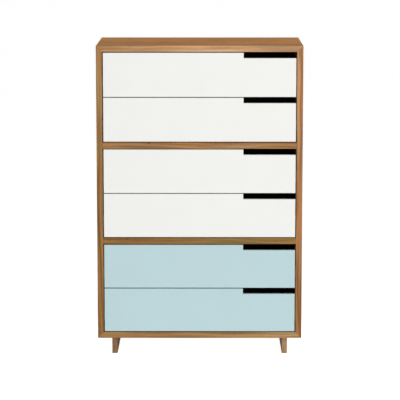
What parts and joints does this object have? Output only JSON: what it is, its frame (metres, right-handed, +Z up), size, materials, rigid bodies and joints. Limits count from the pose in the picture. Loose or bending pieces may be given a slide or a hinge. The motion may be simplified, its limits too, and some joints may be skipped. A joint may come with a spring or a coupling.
{
  "type": "tall chest of drawers",
  "caption": "Tall timber chest in three sections on two runner boards, with flush lacquered drawers that have corner finger notches and run on ball-bearing slides.",
  "frame": {"origin": "on the floor under the middle of the case", "axes": "+X to the right seen from the front, -Y out of the drawer fronts, +Z up"},
  "size_m": [0.914, 0.508, 1.391],
  "materials": {
    "case_wood": "oiled teak-like hardwood, satin, fine straight grain along each panel",
    "runner_wood": "the same oiled hardwood, end grain at the ends",
    "back_board": "veneered board, satin",
    "white_lacquer": "board lacquered off-white, satin",
    "aqua_lacquer": "board lacquered pale aqua, satin",
    "box_laminate": "board with a charcoal laminate, matt",
    "zinc_steel": "zinc plated",
    "glide_nylon": "moulded nylon"
  },
  "bodies": {
    "case": {"top_panel": "case_wood", "bottom_panel": "case_wood", "left_side_panel": "case_wood", "right_side_panel": "case_wood", "upper_divider": "case_wood", "lower_divider": "case_wood", "back_panel": "back_board", "left_runner": "runner_wood", "right_runner": "runner_wood", "runner_screws": "zinc_steel", "foot_glides": "glide_nylon", "cabinet_rails": "zinc_steel"},
    "drawer_1": {"drawer_1_front": "white_lacquer", "drawer_1_box_front": "box_laminate", "drawer_1_left_side": "box_laminate", "drawer_1_right_side": "box_laminate", "drawer_1_box_back": "box_laminate", "drawer_1_box_bottom": "box_laminate", "drawer_1_drawer_rails": "zinc_steel"},
    "middle_rails_1": {"drawer_1_middle_rails": "zinc_steel"},
    "drawer_2": {"drawer_2_front": "white_lacquer", "drawer_2_box_front": "box_laminate", "drawer_2_left_side": "box_laminate", "drawer_2_right_side": "box_laminate", "drawer_2_box_back": "box_laminate", "drawer_2_box_bottom": "box_laminate", "drawer_2_drawer_rails": "zinc_steel"},
    "middle_rails_2": {"drawer_2_middle_rails": "zinc_steel"},
    "drawer_3": {"drawer_3_front": "white_lacquer", "drawer_3_box_front": "box_laminate", "drawer_3_left_side": "box_laminate", "drawer_3_right_side": "box_laminate", "drawer_3_box_back": "box_laminate", "drawer_3_box_bottom": "box_laminate", "drawer_3_drawer_rails": "zinc_steel"},
    "middle_rails_3": {"drawer_3_middle_rails": "zinc_steel"},
    "drawer_4": {"drawer_4_front": "white_lacquer", "drawer_4_box_front": "box_laminate", "drawer_4_left_side": "box_laminate", "drawer_4_right_side": "box_laminate", "drawer_4_box_back": "box_laminate", "drawer_4_box_bottom": "box_laminate", "drawer_4_drawer_rails": "zinc_steel"},
    "middle_rails_4": {"drawer_4_middle_rails": "zinc_steel"},
    "drawer_5": {"drawer_5_front": "aqua_lacquer", "drawer_5_box_front": "box_laminate", "drawer_5_left_side": "box_laminate", "drawer_5_right_side": "box_laminate", "drawer_5_box_back": "box_laminate", "drawer_5_box_bottom": "box_laminate", "drawer_5_drawer_rails": "zinc_steel"},
    "middle_rails_5": {"drawer_5_middle_rails": "zinc_steel"},
    "drawer_6": {"drawer_6_front": "aqua_lacquer", "drawer_6_box_front": "box_laminate", "drawer_6_left_side": "box_laminate", "drawer_6_right_side": "box_laminate", "drawer_6_box_back": "box_laminate", "drawer_6_box_bottom": "box_laminate", "drawer_6_drawer_rails": "zinc_steel"},
    "middle_rails_6": {"drawer_6_middle_rails": "zinc_steel"}
  },
  "joints": [
    {"name": "drawer_1_slide", "type": "slide", "parent": "case", "child": "drawer_1", "axis": [0, -1, 0], "range_m": [0, 0.44]},
    {"name": "middle_rails_1_slide", "type": "slide", "parent": "case", "child": "middle_rails_1", "axis": [0, -1, 0], "range_m": [0, 0.22]},
    {"name": "drawer_2_slide", "type": "slide", "parent": "case", "child": "drawer_2", "axis": [0, -1, 0], "range_m": [0, 0.44]},
    {"name": "middle_rails_2_slide", "type": "slide", "parent": "case", "child": "middle_rails_2", "axis": [0, -1, 0], "range_m": [0, 0.22]},
    {"name": "drawer_3_slide", "type": "slide", "parent": "case", "child": "drawer_3", "axis": [0, -1, 0], "range_m": [0, 0.44]},
    {"name": "middle_rails_3_slide", "type": "slide", "parent": "case", "child": "middle_rails_3", "axis": [0, -1, 0], "range_m": [0, 0.22]},
    {"name": "drawer_4_slide", "type": "slide", "parent": "case", "child": "drawer_4", "axis": [0, -1, 0], "range_m": [0, 0.44]},
    {"name": "middle_rails_4_slide", "type": "slide", "parent": "case", "child": "middle_rails_4", "axis": [0, -1, 0], "range_m": [0, 0.22]},
    {"name": "drawer_5_slide", "type": "slide", "parent": "case", "child": "drawer_5", "axis": [0, -1, 0], "range_m": [0, 0.44]},
    {"name": "middle_rails_5_slide", "type": "slide", "parent": "case", "child": "middle_rails_5", "axis": [0, -1, 0], "range_m": [0, 0.22]},
    {"name": "drawer_6_slide", "type": "slide", "parent": "case", "child": "drawer_6", "axis": [0, -1, 0], "range_m": [0, 0.44]},
    {"name": "middle_rails_6_slide", "type": "slide", "parent": "case", "child": "middle_rails_6", "axis": [0, -1, 0], "range_m": [0, 0.22]}
  ],
  "couplings": [
    {"joint": "middle_rails_1_slide", "follows": "drawer_1_slide", "ratio": 0.5},
    {"joint": "middle_rails_2_slide", "follows": "drawer_2_slide", "ratio": 0.5},
    {"joint": "middle_rails_3_slide", "follows": "drawer_3_slide", "ratio": 0.5},
    {"joint": "middle_rails_4_slide", "follows": "drawer_4_slide", "ratio": 0.5},
    {"joint": "middle_rails_5_slide", "follows": "drawer_5_slide", "ratio": 0.5},
    {"joint": "middle_rails_6_slide", "follows": "drawer_6_slide", "ratio": 0.5}
  ]
}
